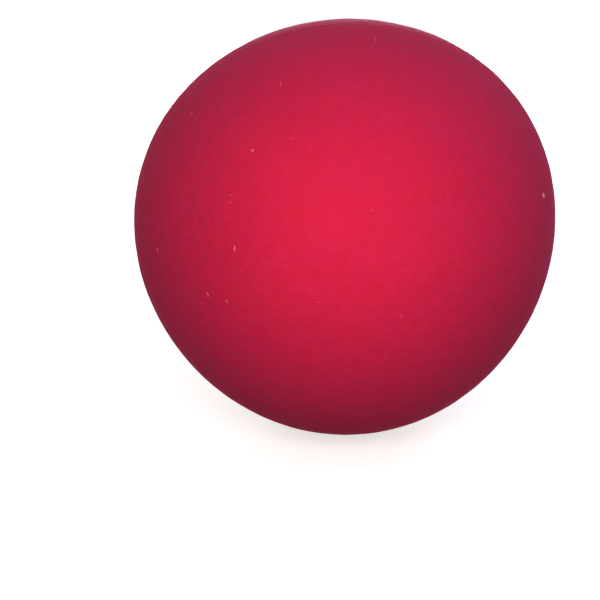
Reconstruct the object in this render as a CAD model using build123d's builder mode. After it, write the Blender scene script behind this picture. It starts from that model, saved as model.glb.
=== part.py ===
"""Small coated foam dodgeball, in millimetres, with its centre at the origin and +Z up.

The ball comes apart, from the inside out, into a moulded foam core, a thin coat that closes the
core's open cells, and the tough red skin that is handled and thrown. Each layer is bonded to the
next over the whole sphere, so their faces meet with no gap and nothing moves.
"""
import os

from build123d import *

# Driving dimensions
ball_diameter = 100.0
skin_wall = 0.6
seal_coat_wall = 0.3

# Radii that follow from them, from the outside in
ball_radius = ball_diameter / 2
skin_bore_radius = ball_radius - skin_wall
core_radius = skin_bore_radius - seal_coat_wall

os.makedirs("parts", exist_ok=True)

# Foam core: one solid moulding, the part that gives when the ball is squeezed
with BuildPart() as foam_core:
    Sphere(core_radius)
foam_core.part.label = "foam_core"
export_step(foam_core.part, "parts/foam_core.step")

# Seal coat: the first coat on the foam, which the skin is bonded to
with BuildPart() as seal_coat:
    Sphere(skin_bore_radius)
    Sphere(core_radius, mode=Mode.SUBTRACT)
seal_coat.part.label = "seal_coat"
export_step(seal_coat.part, "parts/seal_coat.step")

# Skin: the seamless coloured outer coat, which carries the ball's full diameter
with BuildPart() as skin:
    Sphere(ball_radius)
    Sphere(skin_bore_radius, mode=Mode.SUBTRACT)
skin.part.label = "skin"
export_step(skin.part, "parts/skin.step")
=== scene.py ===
"""Looks of a small coated foam dodgeball: its red skin, the layers under it and a plain studio."""
import math

import bpy
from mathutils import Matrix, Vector


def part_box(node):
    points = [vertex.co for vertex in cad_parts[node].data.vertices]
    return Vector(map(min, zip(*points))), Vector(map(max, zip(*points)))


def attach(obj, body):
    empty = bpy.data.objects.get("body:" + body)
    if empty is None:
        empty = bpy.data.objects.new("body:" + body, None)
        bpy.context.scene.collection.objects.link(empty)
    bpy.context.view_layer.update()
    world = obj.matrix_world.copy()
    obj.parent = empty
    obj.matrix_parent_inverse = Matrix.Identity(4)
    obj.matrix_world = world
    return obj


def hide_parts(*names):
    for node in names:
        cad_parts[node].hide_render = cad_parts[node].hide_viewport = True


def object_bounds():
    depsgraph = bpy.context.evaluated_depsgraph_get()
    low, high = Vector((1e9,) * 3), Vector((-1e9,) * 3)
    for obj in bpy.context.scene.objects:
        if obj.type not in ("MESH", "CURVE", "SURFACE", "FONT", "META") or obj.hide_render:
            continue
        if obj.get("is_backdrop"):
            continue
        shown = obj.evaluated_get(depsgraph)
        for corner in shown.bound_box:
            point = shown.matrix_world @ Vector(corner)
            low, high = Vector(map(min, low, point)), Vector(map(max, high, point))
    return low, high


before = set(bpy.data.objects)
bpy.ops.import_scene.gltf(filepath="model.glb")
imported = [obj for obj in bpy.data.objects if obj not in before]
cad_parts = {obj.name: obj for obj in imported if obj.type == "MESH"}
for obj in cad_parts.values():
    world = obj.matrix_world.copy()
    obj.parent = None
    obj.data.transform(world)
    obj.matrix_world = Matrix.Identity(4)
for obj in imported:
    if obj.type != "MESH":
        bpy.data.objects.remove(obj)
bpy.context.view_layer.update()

MM = 0.001
BODY = "root"


def layer_radius(node):
    """Radius of one of the ball's round layers, in metres."""
    low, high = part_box(node)
    return (high.z - low.z) / 2


# The layers, and a hair's breadth that keeps their faces apart
LAYER_GAP = 0.04 * MM
ball_radius = layer_radius("skin")
seal_coat_radius = layer_radius("seal_coat")
core_radius = layer_radius("foam_core")
skin_wall = ball_radius - seal_coat_radius
seal_coat_wall = seal_coat_radius - core_radius

# How the moulding departs from a true ball: how far its mean surface lies inside that ball, the heights of
# the two and three waves around its outline, along the picture's right and a quarter wave further on, and
# a slow wander with no order
MEAN_INSET = 0.3 * MM
LOBES = {2: (0.3 * MM, 0.2 * MM), 3: (-0.2 * MM, 0.5 * MM)}
WANDER = 0.3 * MM
mean_radius = ball_radius - MEAN_INSET

# The photograph's frame, and where the ball stands in it, in pixels from the top left corner
FRAME_PIXELS = 600
HALF_PIXEL = 0.5
BALL_CENTRE_PIXEL = (343.8, 225.6)
BALL_RADIUS_PIXELS = 209.2

# The camera, as far away as the size of the ball in the frame asks
LENS_MM = 85
SENSOR_MM = 36
CAMERA_ELEVATION = math.radians(18)
focal_pixels = LENS_MM / SENSOR_MM * FRAME_PIXELS
camera_distance = mean_radius / math.sin(math.atan(BALL_RADIUS_PIXELS / focal_pixels))
towards_camera = Vector((0, -math.cos(CAMERA_ELEVATION), math.sin(CAMERA_ELEVATION)))
picture_right = Vector((1, 0, 0))
picture_up = towards_camera.cross(picture_right)
camera_place = towards_camera * camera_distance

# Faces along each edge of the six patches that a layer is bent from
SKIN_DIVISIONS = 122
SEAL_COAT_DIVISIONS = 110
CORE_DIVISIONS = 128
INNER_FACE_DIVISIONS = 40

# A layer's map: its patches lie in rows and columns, those of the outer face below those of the inner one,
# and each fills most of its place
MAP_COLUMNS = 3
MAP_ROWS = 2
OUTER_BAND = (0.0, 0.97)
INNER_BAND = (0.975, 1.0)
PATCH_FILL = 0.97

# Relief of the layers: how deep the skin's peel, the seal coat's dips and the core's pits are, and how
# wide the slope from the wall of a cell into its pit is, in cells
PEEL_DEPTH = 0.20 * MM
DIP_DEPTH = 0.1 * MM
PIT_DEPTH = 0.4 * MM
PIT_SLOPE = 0.3

# Soft patterns: how wide their lumps are in millimetres, how many finer rounds of lumps lie on those, and
# a seed
PATTERNS = {
    "wander": (40, 1.0, 4.0),
    "peel": (3.2, 1.5, 1.0),
    "cloud": (20, 3.0, 0.0),
    "drift": (4.5, 3.0, 6.0),
    "mottle": (2.2, 3.0, 3.0),
    "grain": (0.6, 2.0, 5.0),
    "blotch": (0.4, 2.0, 9.0),
    "streak": (6, 4.0, 8.0),
}

# Cells, in millimetres across: the open ones of the foam, the fine ones between them, and those that
# print through the skin
CELL_SPANS = {"open": 2.4, "fine": 0.8, "printed": 1.2}

# Pale flecks in the skin: where the photograph shows one, in pixels, how long and how broad it is in
# millimetres, how its length leans from the picture's right in degrees, and how pale it is: 0 is under the
# coat, 1 is bare and partly a painted glint of light, and 2 is mostly a painted glint
FLECKS = {
    (252, 150): (0.85, 0.60, 90, 1.0),
    (234, 248): (1.30, 0.45, 90, 1.0),
    (207, 294): (1.20, 0.85, 105, 0.4),
    (226, 301): (1.10, 1.00, 90, 0.2),
    (202, 303): (0.80, 0.40, 0, 0.2),
    (157, 250): (1.20, 0.80, 90, 0.4),
    (543, 195): (1.40, 1.20, 90, 2.0),
    (280, 83): (1.80, 0.50, 90, 0.2),
    (191, 113): (1.10, 0.80, 90, 0.2),
    (230, 195): (1.20, 0.55, 0, 0.1),
    (230, 202): (1.20, 0.55, 0, 0.1),
    (375, 39): (2.60, 0.60, 90, 0.3),
    (372, 210): (0.90, 0.70, 90, 0.0),
    (401, 316): (1.60, 0.50, 90, 0.1),
    (291, 138): (1.10, 0.45, 0, 0.0),
    (317, 302): (1.30, 0.45, 0, 0.0),
}
# The least and the most of the same four numbers on the far half, and the seeds of its flecks
FAR_FLECKS = {
    "length": (0.7 * MM, 1.3 * MM),
    "breadth": (0.4 * MM, 0.7 * MM),
    "lean": (0.0, math.tau),
    "paleness": (0.0, 0.6),
}
SCATTER_SEED = 3
FIRST_FLECK_SEED = 11
# The crumb that a fleck is made from, 1 across before it gets its size, and its height for its breadth
CRUMB = {"Radius": 0.5, "Subdivisions": 2}
FLECK_RISE = 0.4

# Finish of the skin. Here and below, a pair goes from the low side of its pattern to the high side
CRIMSON = ((0.71, 0.003, 0.048, 1), (0.81, 0.010, 0.066, 1))
SCARLET = ((0.73, 0.003, 0.026, 1), (0.83, 0.010, 0.036, 1))
SKIN_ROUGHNESS = (0.78, 0.90)
SKIN_BUMP = {"Strength": 0.8, "Distance": 0.25 * MM}
SKIN_GLOSS = {
    "Specular IOR Level": 0.2,
    "Sheen Weight": 0.1,
    "Sheen Roughness": 0.8,
    "Sheen Tint": (0.1, 0.25, 0.8, 1),
}
# How far each pattern sways the skin's shade and its warmth, and how high its bump's two patterns stand
SHADE_SWAY = {"cloud": 0.6, "mottle": 1.2, "grain": 0.6}
WARMTH_SWAY = {"drift": 1.6}
PRINT_HEIGHT = 0.6
GRAIN_HEIGHT = 0.25

# Finish of the flecks, whether under the coat, bare and partly a painted glint, or mostly a painted glint
COVERED_PINK = ((0.81, 0.017, 0.075, 1), (0.89, 0.030, 0.096, 1))
BARE_PINK_AND_GLINT = ((1.00, 0.090, 0.180, 1), (1.00, 0.190, 0.300, 1))
PAINTED_GLINT_PINK = (1.00, 0.28, 0.40, 1)
FLECK_ROUGHNESS = (0.8, 1.0)
FLECK_BUMP = {"Strength": 0.5, "Distance": 0.05 * MM}
FLECK_GLOSS = {"Specular IOR Level": 0.2}

# Finish of the seal coat, and how much darker it is in its dips
DULL_RED = ((0.42, 0.02, 0.045, 1), (0.58, 0.035, 0.07, 1))
DIP_SHADE = 0.3
SEAL_COAT_ROUGHNESS = (0.6, 0.8)
SEAL_COAT_BUMP = {"Strength": 0.4, "Distance": 0.1 * MM}
SEAL_COAT_GLOSS = {"Specular IOR Level": 0.3}

# Finish of the foam, from the cream of its cell walls to the painted shade in their pits
CREAM_AND_PIT_SHADE = ((0.80, 0.72, 0.53, 1), (0.55, 0.46, 0.30, 1))
FOAM_ROUGHNESS = (0.95, 0.85)
FOAM_BUMP = {"Strength": 0.6, "Distance": 0.2 * MM}
FOAM_GLOSS = {"Specular IOR Level": 0.2}

# The floor: how far it reaches, what it shows, and the grey by which it throws light back
FLOOR_REACH = 4.0
FLOOR_WHITE = (0.9, 0.9, 0.9, 1)
FLOOR_GLOW = {"Color": (1, 0.97, 0.93, 1), "Strength": 0.7}
FLOOR_GREY = (0.18, 0.18, 0.18, 1)

# The world: what it shows, and its own soft light
WORLD_WHITE = {"Color": (1, 1, 1, 1), "Strength": 1.0}
WORLD_LIGHT = {"Color": (0.85, 0.92, 1.0, 1), "Strength": 0.4}

# Lamps: distance and width in metres, power in watts
LAMPS = {
    "key_lamp": dict(direction=towards_camera, distance=0.155, width=0.05, power=0.084, colour=(1, 1, 1)),
    "back_lamp": dict(
        direction=Vector((0, 1, 0.07)), distance=0.5, width=0.14, power=1.2, colour=(1, 1, 1)
    ),
    "cool_top_lamp": dict(
        direction=Vector((0.7, 0.2, 1)), distance=0.6, width=0.4, power=0.7, colour=(0.22, 0.4, 1.0)
    ),
}


class Wire:
    """An output of a node. Operators on wires and numbers add the Math nodes that work them out."""

    def __init__(self, graph, socket):
        self.graph = graph
        self.socket = socket

    def other(self, output):
        """Another output of the same node."""
        return Wire(self.graph, self.socket.node.outputs[output])

    def __add__(self, value):
        return self.graph.math("ADD", self, value)

    def __radd__(self, value):
        return self.graph.math("ADD", value, self)

    def __sub__(self, value):
        return self.graph.math("SUBTRACT", self, value)

    def __rsub__(self, value):
        return self.graph.math("SUBTRACT", value, self)

    def __mul__(self, value):
        return self.graph.math("MULTIPLY", self, value)

    def __rmul__(self, value):
        return self.graph.math("MULTIPLY", value, self)

    def __truediv__(self, value):
        return self.graph.math("DIVIDE", self, value)

    def __rtruediv__(self, value):
        return self.graph.math("DIVIDE", value, self)

    def __abs__(self):
        return self.graph.math("ABSOLUTE", self)

    def __lt__(self, value):
        return self.graph.math("LESS_THAN", self, value)

    def __gt__(self, value):
        return self.graph.math("GREATER_THAN", self, value)


class Graph:
    """One node tree, built a node at a time."""

    def __init__(self, tree):
        self.tree = tree
        tree.nodes.clear()

    def add(self, kind, settings=None, sockets=None, output=0):
        """Adds a node, makes its settings, then fills its sockets with values or links."""
        node = self.tree.nodes.new(kind)
        for name, value in (settings or {}).items():
            setattr(node, name, value)
        for name, value in (sockets or {}).items():
            if isinstance(value, Wire):
                self.tree.links.new(value.socket, node.inputs[name])
            else:
                node.inputs[name].default_value = value
        return Wire(self, node.outputs[output]) if node.outputs else None

    def math(self, operation, *values):
        """A calculation on numbers."""
        return self.add("ShaderNodeMath", {"operation": operation}, dict(enumerate(values)))

    def vector(self, operation, *values, output=0):
        """A calculation on vectors."""
        return self.add("ShaderNodeVectorMath", {"operation": operation}, dict(enumerate(values)), output)

    def scaled(self, vector, size):
        """A vector, so many times as long."""
        return self.add("ShaderNodeVectorMath", {"operation": "SCALE"}, {0: vector, "Scale": size})

    def along(self, vector, axis):
        """How far a vector reaches along an axis."""
        return self.vector("DOT_PRODUCT", vector, axis, output="Value")

    def parts(self, vector):
        """The three parts of a vector."""
        first = self.add("ShaderNodeSeparateXYZ", None, {"Vector": vector})
        return first, first.other("Y"), first.other("Z")

    def joined(self, x, y, z=0.0):
        """A vector of three parts."""
        return self.add("ShaderNodeCombineXYZ", None, {"X": x, "Y": y, "Z": z})

    def rise(self, value, top):
        """0 where the value is 0, 1 where it has reached the top, and smooth between them."""
        sockets = {"Value": value, "From Max": top}
        return self.add("ShaderNodeMapRange", {"interpolation_type": "SMOOTHSTEP"}, sockets)

    def mix(self, factor, first, second):
        """A colour between two colours."""
        # The names of this node's sockets repeat, so they go by number
        sockets = {0: factor, 6: first, 7: second}
        return self.add("ShaderNodeMix", {"data_type": "RGBA"}, sockets, 2)

    def noise(self, place, name):
        """One of the soft patterns, from 0 to 1."""
        span, detail, seed = PATTERNS[name]
        sockets = {"Vector": place, "W": seed, "Scale": 1 / (span * MM), "Detail": detail}
        return self.add("ShaderNodeTexNoise", {"noise_dimensions": "4D"}, sockets, "Fac")

    def cells(self, place, name, feature):
        """How far a place is from the middle of the nearest cell, or from its wall, in cells."""
        sockets = {"Vector": place, "Scale": 1 / (CELL_SPANS[name] * MM)}
        return self.add("ShaderNodeTexVoronoi", {"feature": feature}, sockets, "Distance")


class Recipe(Graph):
    """A Geometry Nodes tree with named inputs, for one piece."""

    def __init__(self, name):
        super().__init__(bpy.data.node_groups.new(name, "GeometryNodeTree"))
        interface = self.tree.interface
        interface.new_socket("Geometry", in_out="OUTPUT", socket_type="NodeSocketGeometry")
        interface.new_socket("Geometry", in_out="INPUT", socket_type="NodeSocketGeometry")
        self.name = name
        self.inputs = self.tree.nodes.new("NodeGroupInput")
        self.start = Wire(self, self.inputs.outputs["Geometry"])
        self.values = {}

    def take(self, name, value, kind="Float"):
        """A named input, which is added with its value the first time that it is asked for."""
        if name not in self.inputs.outputs:
            socket_type = "NodeSocket" + kind
            item = self.tree.interface.new_socket(name, in_out="INPUT", socket_type=socket_type)
            self.values[item.identifier] = value
        return Wire(self, self.inputs.outputs[name])

    def chance(self, low, high, seed):
        """A number between two others, drawn anew for each point."""
        # The names of this node's sockets repeat too
        sockets = {2: low, 3: high, "Seed": seed}
        return self.add("FunctionNodeRandomValue", {"data_type": "FLOAT"}, sockets, 1)

    def keep(self, mesh, name, value, kind="FLOAT", domain="POINT"):
        """Keeps a value on the mesh under a name."""
        return self.add(
            "GeometryNodeStoreNamedAttribute",
            {"data_type": kind, "domain": domain},
            {"Geometry": mesh, "Name": name, "Value": value},
        )

    def read(self, name):
        """A number that is kept on the mesh under a name."""
        sockets = {"Name": name}
        return self.add("GeometryNodeInputNamedAttribute", {"data_type": "FLOAT"}, sockets, "Attribute")

    def join(self, *meshes):
        """All the meshes as one."""
        joined = self.add("GeometryNodeJoinGeometry")
        for mesh in reversed(meshes):
            self.tree.links.new(mesh.socket, joined.socket.node.inputs[0])
        return joined

    def serve(self, mesh, material):
        """Ends the tree with plain, smooth, dressed geometry."""
        mesh = self.add("GeometryNodeRealizeInstances", None, {"Geometry": mesh})
        mesh = self.add("GeometryNodeSetShadeSmooth", None, {"Geometry": mesh})
        finish = self.take("Material", material, "Material")
        mesh = self.add("GeometryNodeSetMaterial", None, {"Geometry": mesh, "Material": finish})
        self.add("NodeGroupOutput", None, {"Geometry": mesh})

    def make(self, points=(), **numbers):
        """Runs the tree on a few points with named numbers, or on nothing, and keeps a plain mesh."""
        start = bpy.data.meshes.new(self.name)
        start.from_pydata(points, [], [])
        for label, values in numbers.items():
            start.attributes.new(label, "FLOAT", "POINT").data.foreach_set("value", values)
        piece = bpy.data.objects.new(self.name, start)
        bpy.context.scene.collection.objects.link(piece)
        modifier = piece.modifiers.new("Recipe", "NODES")
        modifier.node_group = self.tree
        for identifier, value in self.values.items():
            modifier[identifier] = value
        graph = bpy.context.evaluated_depsgraph_get()
        made = bpy.data.meshes.new_from_object(piece.evaluated_get(graph), depsgraph=graph)
        made.name = self.name
        piece.modifiers.clear()
        piece.data = made
        return piece


def between(limits, share):
    """A number between two limits."""
    low, high = limits
    return low + (high - low) * share


def unevenness(recipe, direction):
    """How far the moulding stands out from its mean ball, in metres."""
    place = recipe.scaled(direction, ball_radius)
    outward = recipe.take("Wander", WANDER) * (recipe.noise(place, "wander") - 0.5)
    right = recipe.along(direction, picture_right)
    up = recipe.along(direction, picture_up)
    wave, quarter_on = right, up
    for count, (height, height_on) in LOBES.items():
        wave, quarter_on = wave * right - quarter_on * up, quarter_on * right + wave * up
        outward += recipe.take(f"{count} lobes", height) * wave
        outward += recipe.take(f"{count} lobes a quarter on", height_on) * quarter_on
    return outward


def map_layout(recipe, cube, place, band):
    """Keeps a map on which a cube's six sides lie side by side, between two heights."""
    normal = recipe.add("GeometryNodeInputNormal")
    on_faces = {"data_type": "FLOAT_VECTOR", "domain": "FACE"}
    side = recipe.add("GeometryNodeFieldOnDomain", on_faces, {"Value": normal})
    x_side, y_side, z_side = recipe.parts(side)
    x, y, z = recipe.parts(place)
    across = z_side * x + x_side * y - y_side * x
    up = abs(z_side) * y + (abs(x_side) + abs(y_side)) * z
    column = abs(y_side) + 2 * abs(z_side)
    row = 0.5 + 0.5 * (x_side + y_side + z_side)
    u = (column + 0.5 + PATCH_FILL / 2 * across) / MAP_COLUMNS
    v = between(band, (row + 0.5 + PATCH_FILL / 2 * up) / MAP_ROWS)
    return recipe.keep(cube, "OFBake", recipe.joined(u, v), "FLOAT2", "CORNER")


def round_mesh(recipe, divisions, radius, band, relief=None):
    """A ball of even quads, whose six patches are bent from a cube, as uneven as the moulding."""
    corners = divisions + 1
    sides = {"Vertices " + axis: corners for axis in "XYZ"}
    # The cube reaches from -1 to 1, which the tangent of an eighth of a turn spaces evenly on the ball
    cube = recipe.add("GeometryNodeMeshCube", None, {"Size": (2, 2, 2), **sides}, "Mesh")
    place = recipe.add("GeometryNodeInputPosition")
    cube = map_layout(recipe, cube, place, band)
    even = recipe.vector("TANGENT", recipe.scaled(place, math.pi / 4))
    direction = recipe.vector("NORMALIZE", even)
    out = radius - MEAN_INSET + unevenness(recipe, direction)
    if relief:
        out -= relief(recipe, recipe.scaled(direction, ball_radius))
    moved = recipe.scaled(direction, out)
    return recipe.add("GeometryNodeSetPosition", None, {"Geometry": cube, "Position": moved})


def orange_peel(recipe, place):
    """Depth of the sprayed skin's soft peel, in metres."""
    return recipe.take("Peel depth", PEEL_DEPTH) * recipe.noise(place, "peel")


def pit_share(graph, place):
    """How deep a place lies in one of the foam's open cells: 0 on the wall, 1 in the pit."""
    on_ball = graph.scaled(graph.vector("NORMALIZE", place), ball_radius)
    return graph.rise(graph.cells(on_ball, "open", "DISTANCE_TO_EDGE"), PIT_SLOPE)


def open_cells(recipe, place):
    """Depth of the pits that the foam's open cells leave on the core, in metres."""
    return recipe.take("Pit depth", PIT_DEPTH) * pit_share(recipe, place)


def closed_cells(recipe, place):
    """Depth of the dips that the seal coat keeps over the foam's open cells, in metres."""
    return recipe.take("Dip depth", DIP_DEPTH) * pit_share(recipe, place)


def hollow_layer(name, radius, wall, divisions, material, relief):
    """A closed coat with an outer face and an inner face."""
    recipe = Recipe(name)
    outer_divisions = recipe.take("Outer divisions", divisions, "Int")
    inner_divisions = recipe.take("Inner divisions", INNER_FACE_DIVISIONS, "Int")
    outer_radius = recipe.take("Outer radius", radius)
    inner_radius = outer_radius - recipe.take("Wall", wall)
    outer = round_mesh(recipe, outer_divisions, outer_radius, OUTER_BAND, relief)
    inner = round_mesh(recipe, inner_divisions, inner_radius, INNER_BAND)
    inner = recipe.add("GeometryNodeFlipFaces", None, {"Mesh": inner})
    recipe.serve(recipe.join(outer, inner), material)
    return recipe.make()


def solid_layer(name, radius, divisions, material, relief):
    """A closed ball."""
    recipe = Recipe(name)
    outer_divisions = recipe.take("Outer divisions", divisions, "Int")
    outer_radius = recipe.take("Outer radius", radius)
    recipe.serve(round_mesh(recipe, outer_divisions, outer_radius, OUTER_BAND, relief), material)
    return recipe.make()


def camera_turn():
    """Rotation of the camera, so that the ball stands where the photograph shows it."""
    across, down = (place - FRAME_PIXELS / 2 for place in BALL_CENTRE_PIXEL)
    aim = picture_up * down - picture_right * across - towards_camera * focal_pixels
    return aim.to_track_quat("-Z", "Y")


def place_at_pixel(piece, pixel):
    """Point of a piece that the camera sees in the middle of a pixel."""
    across, down = (number + HALF_PIXEL - FRAME_PIXELS / 2 for number in pixel)
    sight = Vector((across, -down, -focal_pixels))
    sight.rotate(camera_turn())
    graph = bpy.context.evaluated_depsgraph_get()
    _, place, _, _ = piece.ray_cast(camera_place, sight.normalized(), depsgraph=graph)
    return place


def far_points(recipe, skin, place):
    """Points scattered over the far half of the skin, each with the numbers of its fleck."""
    skin_input = recipe.take("Skin", skin, "Object")
    far_half = 2 * math.pi * ball_radius**2
    outer = recipe.vector("LENGTH", place, output="Value") > seal_coat_radius
    far = recipe.along(place, towards_camera) < 0.0
    sockets = {
        "Mesh": recipe.add("GeometryNodeObjectInfo", None, {"Object": skin_input}, "Geometry"),
        "Selection": outer * far,
        "Density": recipe.take("Far flecks per square metre", len(FLECKS) / far_half),
        "Seed": recipe.take("Seed", SCATTER_SEED, "Int"),
    }
    points = recipe.add("GeometryNodeDistributePointsOnFaces", None, sockets)
    for seed, (name, limits) in enumerate(FAR_FLECKS.items(), FIRST_FLECK_SEED):
        points = recipe.keep(points, name, recipe.chance(*limits, seed))
    return points


def fleck_turn(recipe, place):
    """Rotation that lays a fleck in the skin, with its length leaning on the picture as it should."""
    lean = recipe.read("lean")
    long_way = recipe.vector(
        "ADD",
        recipe.scaled(picture_right, recipe.math("COSINE", lean)),
        recipe.scaled(picture_up, recipe.math("SINE", lean)),
    )
    slope = recipe.along(long_way, place) / recipe.along(towards_camera, place)
    long_way = recipe.vector("SUBTRACT", long_way, recipe.scaled(towards_camera, slope))
    stood = recipe.add("FunctionNodeAlignRotationToVector", {"axis": "Z"}, {"Vector": place})
    return recipe.add(
        "FunctionNodeAlignRotationToVector",
        {"axis": "X", "pivot_axis": "Z"},
        {"Rotation": stood, "Vector": long_way},
    )


def flecks_in_skin(skin, material):
    """The flecks that the photograph shows, and about as many scattered over the far half."""
    recipe = Recipe("pale_flecks")
    place = recipe.add("GeometryNodeInputPosition")
    breadth = recipe.read("breadth")
    sockets = {
        "Points": recipe.join(recipe.start, far_points(recipe, skin, place)),
        "Instance": recipe.add("GeometryNodeMeshIcoSphere", None, CRUMB, "Mesh"),
        "Rotation": fleck_turn(recipe, place),
        "Scale": recipe.joined(recipe.read("length"), breadth, FLECK_RISE * breadth),
    }
    recipe.serve(recipe.add("GeometryNodeInstanceOnPoints", None, sockets), material)
    lengths, breadths, leans, palenesses = zip(*FLECKS.values())
    return recipe.make(
        [place_at_pixel(skin, pixel) for pixel in FLECKS],
        length=[number * MM for number in lengths],
        breadth=[number * MM for number in breadths],
        lean=[math.radians(number) for number in leans],
        paleness=palenesses,
    )


def new_material(name):
    """A material with an empty tree, and its graph."""
    material = bpy.data.materials.new(name)
    material.use_nodes = True
    return material, Graph(material.node_tree)


def new_finish(name):
    """A material with an empty tree, its graph, and where a point of its piece lies."""
    material, graph = new_material(name)
    return material, graph, graph.add("ShaderNodeTexCoord", None, None, "Object")


def end_finish(graph, colour, roughness, height, bump, gloss):
    """Ends a finish in one Principled shader."""
    normal = graph.add("ShaderNodeBump", None, {"Height": height, **bump})
    sockets = {"Base Color": colour, "Roughness": roughness, "Normal": normal, **gloss}
    shader = graph.add("ShaderNodeBsdfPrincipled", None, sockets)
    graph.add("ShaderNodeOutputMaterial", None, {"Surface": shader})


def swayed(patterns, sways):
    """Some patterns laid over each other about a middle of 0.5, each by its own sway."""
    return sum((sway * (patterns[name] - 0.5) for name, sway in sways.items()), 0.5)


def red_skin():
    """Matte red coat with a soft grain, whose red drifts a little towards crimson and scarlet."""
    material, graph, place = new_finish("red skin")
    patterns = {name: graph.noise(place, name) for name in ("cloud", "drift", "mottle", "grain")}
    printed = graph.cells(place, "printed", "SMOOTH_F1")
    shade = swayed(patterns, SHADE_SWAY)
    warmth = swayed(patterns, WARMTH_SWAY)
    colour = graph.mix(warmth, graph.mix(shade, *CRIMSON), graph.mix(shade, *SCARLET))
    roughness = between(SKIN_ROUGHNESS, patterns["mottle"])
    height = PRINT_HEIGHT * printed + GRAIN_HEIGHT * patterns["grain"]
    end_finish(graph, colour, roughness, height, SKIN_BUMP, SKIN_GLOSS)
    return material


def pale_fleck():
    """Pink crumb, uneven in colour, nearer to the skin's red the more the coat hides it, and paler where a
    glint of light is painted on it.
    """
    material, graph, place = new_finish("pale fleck")
    blotch = graph.noise(place, "blotch")
    paleness = graph.add("ShaderNodeAttribute", {"attribute_name": "paleness"}, None, "Fac")
    # Bare flecks are pale partly by their own pink and partly by a painted glint, and the palest are
    # mostly a painted glint
    pink = graph.mix(paleness, graph.mix(blotch, *COVERED_PINK), graph.mix(blotch, *BARE_PINK_AND_GLINT))
    colour = graph.mix(paleness - 1, pink, PAINTED_GLINT_PINK)
    roughness = between(FLECK_ROUGHNESS, blotch)
    end_finish(graph, colour, roughness, blotch, FLECK_BUMP, FLECK_GLOSS)
    return material


def dull_seal_coat():
    """Thin, dull, darker red coat, which is darker still in its dips over the foam's cells."""
    material, graph, place = new_finish("dull seal coat")
    streak = graph.noise(place, "streak")
    colour = graph.mix(streak - DIP_SHADE * pit_share(graph, place), *DULL_RED)
    roughness = between(SEAL_COAT_ROUGHNESS, streak)
    end_finish(graph, colour, roughness, streak, SEAL_COAT_BUMP, SEAL_COAT_GLOSS)
    return material


def cream_foam():
    """Open-cell foam, cream on its cell walls, with painted shade darkening its pits."""
    material, graph, place = new_finish("cream foam")
    pit = pit_share(graph, place)
    fine = graph.cells(place, "fine", "DISTANCE_TO_EDGE")
    # The pits' darker cream is painted shade
    colour = graph.mix(pit, *CREAM_AND_PIT_SHADE)
    end_finish(graph, colour, between(FOAM_ROUGHNESS, pit), fine, FOAM_BUMP, FOAM_GLOSS)
    return material


def seen_directly(graph):
    """1 on rays that come from the camera, or by way of gloss or glass, and 0 on other rays."""
    path = graph.add("ShaderNodeLightPath", None, None, "Is Camera Ray")
    direct = graph.math("MAXIMUM", path, path.other("Is Glossy Ray"))
    return graph.math("MAXIMUM", direct, path.other("Is Transmission Ray"))


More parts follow.
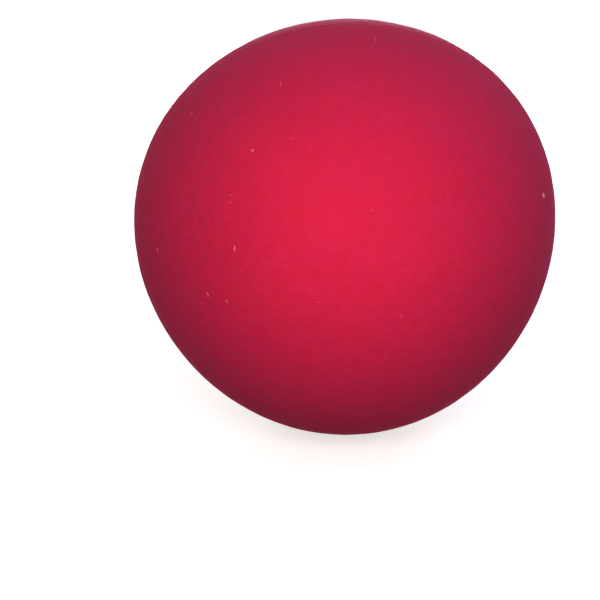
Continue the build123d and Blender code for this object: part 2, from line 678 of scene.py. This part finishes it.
def studio_floor(height):
    """Pale floor that shows white, keeps the shadow and throws little light back."""
    material, graph = new_material("studio floor")
    seen = seen_directly(graph)
    white = graph.add("ShaderNodeBsdfDiffuse", None, {"Color": FLOOR_WHITE})
    glow = graph.add("ShaderNodeEmission", None, FLOOR_GLOW)
    shown = graph.add("ShaderNodeAddShader", None, {0: white, 1: glow})
    grey = graph.add("ShaderNodeBsdfDiffuse", None, {"Color": FLOOR_GREY})
    surface = graph.add("ShaderNodeMixShader", None, {0: seen, 1: grey, 2: shown})
    graph.add("ShaderNodeOutputMaterial", None, {"Surface": surface})
    signs = ((-1, -1), (1, -1), (1, 1), (-1, 1))
    corners = [(x * FLOOR_REACH, y * FLOOR_REACH, height) for x, y in signs]
    mesh = bpy.data.meshes.new("studio_floor")
    mesh.from_pydata(corners, [], [(0, 1, 2, 3)])
    mesh.materials.append(material)
    floor = bpy.data.objects.new("studio_floor", mesh)
    bpy.context.scene.collection.objects.link(floor)
    floor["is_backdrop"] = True


def studio_world():
    """White to look at, with a soft cool light."""
    world = bpy.data.worlds.new("studio")
    world.use_nodes = True
    graph = Graph(world.node_tree)
    light = graph.add("ShaderNodeBackground", None, WORLD_LIGHT)
    white = graph.add("ShaderNodeBackground", None, WORLD_WHITE)
    shown = graph.add("ShaderNodeMixShader", None, {0: seen_directly(graph), 1: light, 2: white})
    graph.add("ShaderNodeOutputWorld", None, {"Surface": shown})
    bpy.context.scene.world = world


def soft_lamp(name, direction, distance, width, power, colour):
    """A round soft lamp that faces the ball and doesn't show."""
    lamp = bpy.data.lights.new(name, "AREA")
    lamp.shape = "DISK"
    lamp.size = width
    lamp.energy = power
    lamp.color = colour
    holder = bpy.data.objects.new(name, lamp)
    holder.location = direction.normalized() * distance
    holder.rotation_euler = (-direction).to_track_quat("-Z", "Y").to_euler()
    holder.visible_camera = False
    bpy.context.scene.collection.objects.link(holder)


def photograph_camera():
    """Camera that sees the ball where the photograph shows it."""
    camera = bpy.data.objects.new("camera", bpy.data.cameras.new("camera"))
    camera.data.lens = LENS_MM
    camera.data.sensor_width = SENSOR_MM
    camera.location = camera_place
    camera.rotation_euler = camera_turn().to_euler()
    bpy.context.scene.collection.objects.link(camera)
    bpy.context.scene.camera = camera


skin = hollow_layer("red_skin", ball_radius, skin_wall, SKIN_DIVISIONS, red_skin(), orange_peel)
seal_coat = hollow_layer(
    "seal_coat_layer",
    seal_coat_radius - LAYER_GAP,
    seal_coat_wall - LAYER_GAP,
    SEAL_COAT_DIVISIONS,
    dull_seal_coat(),
    closed_cells,
)
core = solid_layer(
    "foam_core_cells", core_radius - 2 * LAYER_GAP, CORE_DIVISIONS, cream_foam(), open_cells
)
flecks = flecks_in_skin(skin, pale_fleck())
for piece, node, slot in (
    (skin, "skin", "skin"),
    (seal_coat, "seal_coat", "seal_coat"),
    (core, "foam_core", "foam"),
):
    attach(piece, BODY)
    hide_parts(node)
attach(flecks, BODY)

photograph_camera()
studio_world()
studio_floor(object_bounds()[0].z)
for name, settings in LAMPS.items():
    soft_lamp(name, **settings)

bpy.context.scene.view_settings.view_transform = "Standard"
